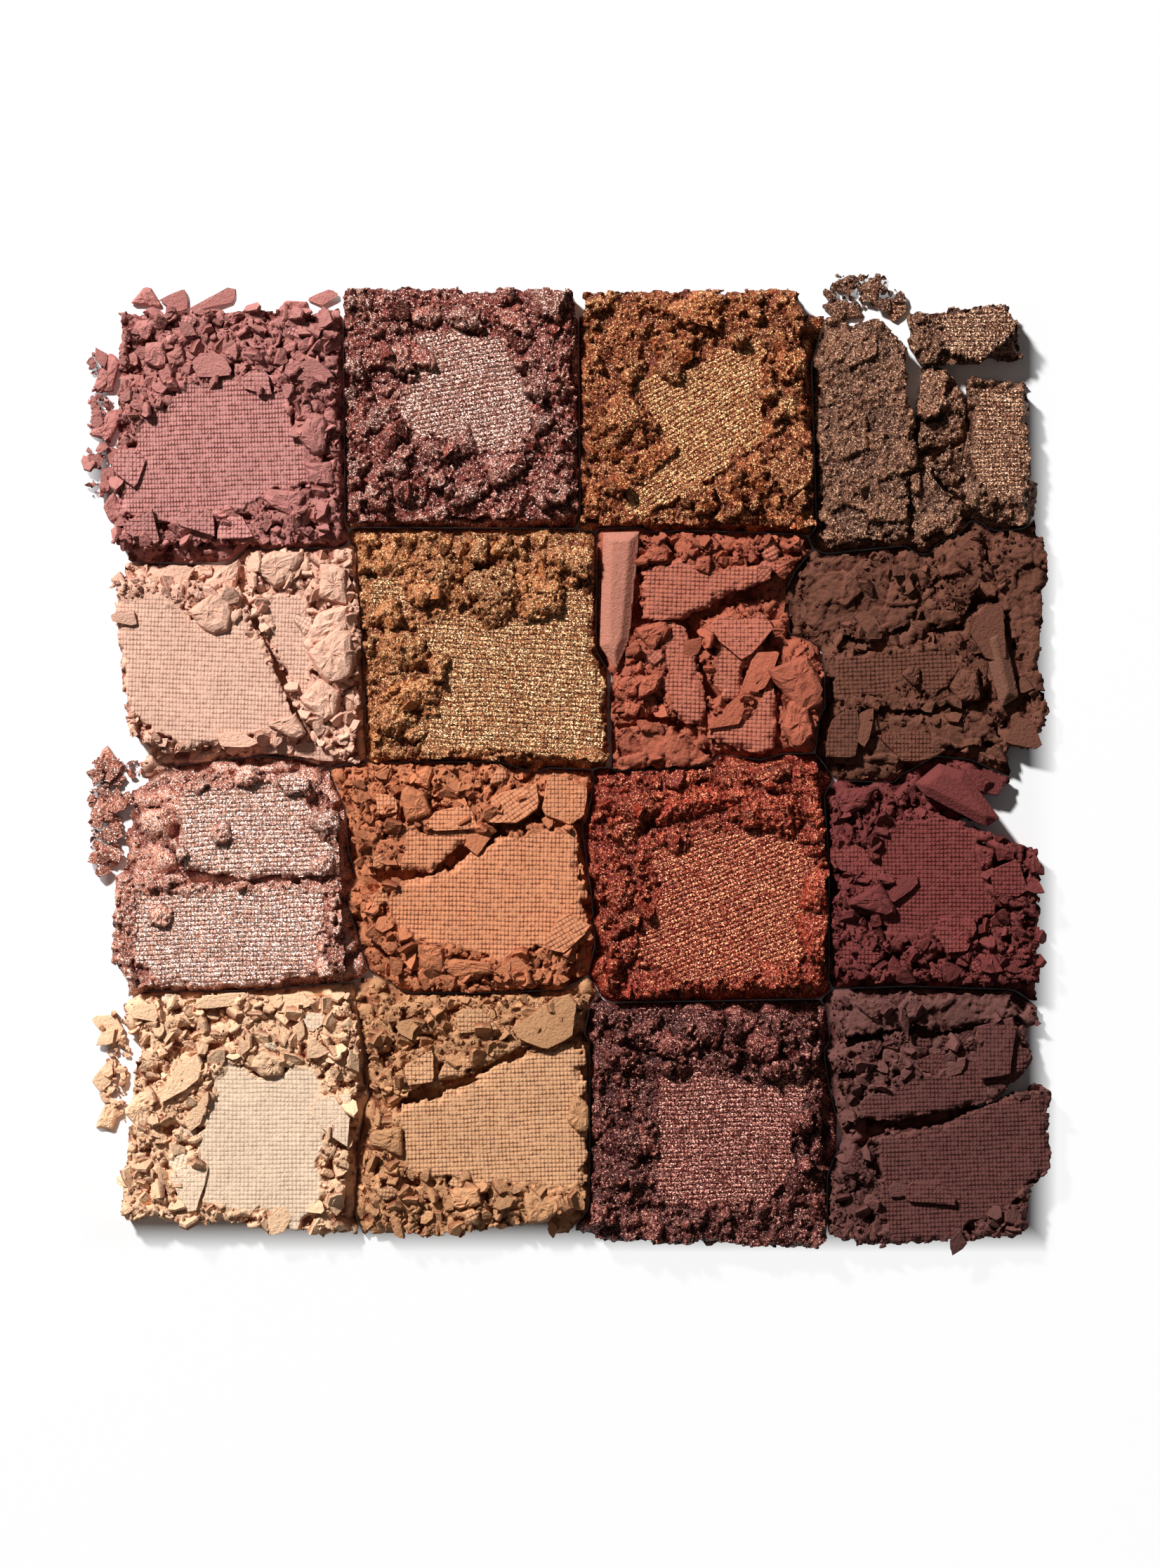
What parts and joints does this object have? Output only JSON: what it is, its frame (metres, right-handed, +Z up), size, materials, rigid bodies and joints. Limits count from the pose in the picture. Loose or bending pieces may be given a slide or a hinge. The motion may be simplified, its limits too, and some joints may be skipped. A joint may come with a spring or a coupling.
{
  "type": "pressed eyeshadow cakes",
  "caption": "Square pressed eyeshadow cakes in matte and shimmer shades, cracked and crumbled, laid loose in a close square grid with spilled crumbs; each cake lifts off the surface.",
  "frame": {"origin": "middle of the whole footprint, on the surface that the cakes lie on", "axes": "+Z up from the surface, +X to the right along a row, +Y to the back row, which is the top row in the picture"},
  "size_m": [0.0842, 0.0849, 0.0035],
  "materials": {
    "mauve_powder": "matte",
    "rose_powder": "satin",
    "amber_powder": "satin",
    "taupe_powder": "satin",
    "peach_powder": "matte",
    "gold_powder": "satin",
    "brick_powder": "matte",
    "brown_powder": "matte",
    "champagne_powder": "satin",
    "tan_powder": "matte",
    "copper_powder": "satin",
    "burgundy_powder": "matte",
    "cream_powder": "matte",
    "camel_powder": "matte",
    "plum_powder": "satin",
    "aubergine_powder": "matte"
  },
  "bodies": {
    "spilled_crumbs": {"champagne_spilled_crumbs": "champagne_powder", "cream_spilled_crumbs": "cream_powder", "mauve_spilled_crumbs": "mauve_powder", "taupe_spilled_crumbs": "taupe_powder"},
    "mauve_cake": {"mauve_flakes": "mauve_powder", "mauve_slab": "mauve_powder"},
    "rose_cake": {"rose_flakes": "rose_powder", "rose_slab": "rose_powder"},
    "amber_cake": {"amber_flakes": "amber_powder", "amber_slab": "amber_powder"},
    "taupe_cake": {"taupe_flakes": "taupe_powder", "taupe_left_slab": "taupe_powder", "taupe_middle_plate": "taupe_powder", "taupe_right_slab": "taupe_powder", "taupe_top_plate": "taupe_powder", "taupe_wedge_plate": "taupe_powder"},
    "peach_cake": {"peach_flakes": "peach_powder", "peach_left_slab": "peach_powder", "peach_right_slab": "peach_powder"},
    "gold_cake": {"gold_flakes": "gold_powder", "gold_slab": "gold_powder"},
    "brick_cake": {"brick_centre_plate": "brick_powder", "brick_flakes": "brick_powder", "brick_front_chunk": "brick_powder", "brick_left_plate": "brick_powder", "brick_lower_plate": "brick_powder", "brick_right_chunk": "brick_powder", "brick_rim_stick": "brick_powder", "brick_top_slab": "brick_powder"},
    "brown_cake": {"brown_flakes": "brown_powder", "brown_front_plate": "brown_powder", "brown_left_plate": "brown_powder", "brown_right_plate": "brown_powder", "brown_rim_stick": "brown_powder", "brown_top_plate": "brown_powder", "brown_woven_plate": "brown_powder"},
    "champagne_cake": {"champagne_flakes": "champagne_powder", "champagne_lower_slab": "champagne_powder", "champagne_upper_slab": "champagne_powder"},
    "tan_cake": {"tan_corner_plate": "tan_powder", "tan_flakes": "tan_powder", "tan_lower_slab": "tan_powder", "tan_upper_slab": "tan_powder"},
    "copper_cake": {"copper_flakes": "copper_powder", "copper_slab": "copper_powder"},
    "burgundy_cake": {"burgundy_chunk": "burgundy_powder", "burgundy_flakes": "burgundy_powder", "burgundy_slab": "burgundy_powder"},
    "cream_cake": {"cream_flakes": "cream_powder", "cream_slab": "cream_powder"},
    "camel_cake": {"camel_flakes": "camel_powder", "camel_lower_slab": "camel_powder", "camel_upper_slab": "camel_powder"},
    "plum_cake": {"plum_flakes": "plum_powder", "plum_slab": "plum_powder"},
    "aubergine_cake": {"aubergine_flakes": "aubergine_powder", "aubergine_lower_slab": "aubergine_powder", "aubergine_top_chunk": "aubergine_powder", "aubergine_upper_slab": "aubergine_powder"}
  },
  "joints": [
    {"name": "mauve_lift", "type": "slide", "parent": "spilled_crumbs", "child": "mauve_cake", "axis": [0, 0, 1], "range_m": [0, 0.015]},
    {"name": "rose_lift", "type": "slide", "parent": "spilled_crumbs", "child": "rose_cake", "axis": [0, 0, 1], "range_m": [0, 0.015]},
    {"name": "amber_lift", "type": "slide", "parent": "spilled_crumbs", "child": "amber_cake", "axis": [0, 0, 1], "range_m": [0, 0.015]},
    {"name": "taupe_lift", "type": "slide", "parent": "spilled_crumbs", "child": "taupe_cake", "axis": [0, 0, 1], "range_m": [0, 0.015]},
    {"name": "peach_lift", "type": "slide", "parent": "spilled_crumbs", "child": "peach_cake", "axis": [0, 0, 1], "range_m": [0, 0.015]},
    {"name": "gold_lift", "type": "slide", "parent": "spilled_crumbs", "child": "gold_cake", "axis": [0, 0, 1], "range_m": [0, 0.015]},
    {"name": "brick_lift", "type": "slide", "parent": "spilled_crumbs", "child": "brick_cake", "axis": [0, 0, 1], "range_m": [0, 0.015]},
    {"name": "brown_lift", "type": "slide", "parent": "spilled_crumbs", "child": "brown_cake", "axis": [0, 0, 1], "range_m": [0, 0.015]},
    {"name": "champagne_lift", "type": "slide", "parent": "spilled_crumbs", "child": "champagne_cake", "axis": [0, 0, 1], "range_m": [0, 0.015]},
    {"name": "tan_lift", "type": "slide", "parent": "spilled_crumbs", "child": "tan_cake", "axis": [0, 0, 1], "range_m": [0, 0.015]},
    {"name": "copper_lift", "type": "slide", "parent": "spilled_crumbs", "child": "copper_cake", "axis": [0, 0, 1], "range_m": [0, 0.015]},
    {"name": "burgundy_lift", "type": "slide", "parent": "spilled_crumbs", "child": "burgundy_cake", "axis": [0, 0, 1], "range_m": [0, 0.015]},
    {"name": "cream_lift", "type": "slide", "parent": "spilled_crumbs", "child": "cream_cake", "axis": [0, 0, 1], "range_m": [0, 0.015]},
    {"name": "camel_lift", "type": "slide", "parent": "spilled_crumbs", "child": "camel_cake", "axis": [0, 0, 1], "range_m": [0, 0.015]},
    {"name": "plum_lift", "type": "slide", "parent": "spilled_crumbs", "child": "plum_cake", "axis": [0, 0, 1], "range_m": [0, 0.015]},
    {"name": "aubergine_lift", "type": "slide", "parent": "spilled_crumbs", "child": "aubergine_cake", "axis": [0, 0, 1], "range_m": [0, 0.015]}
  ]
}
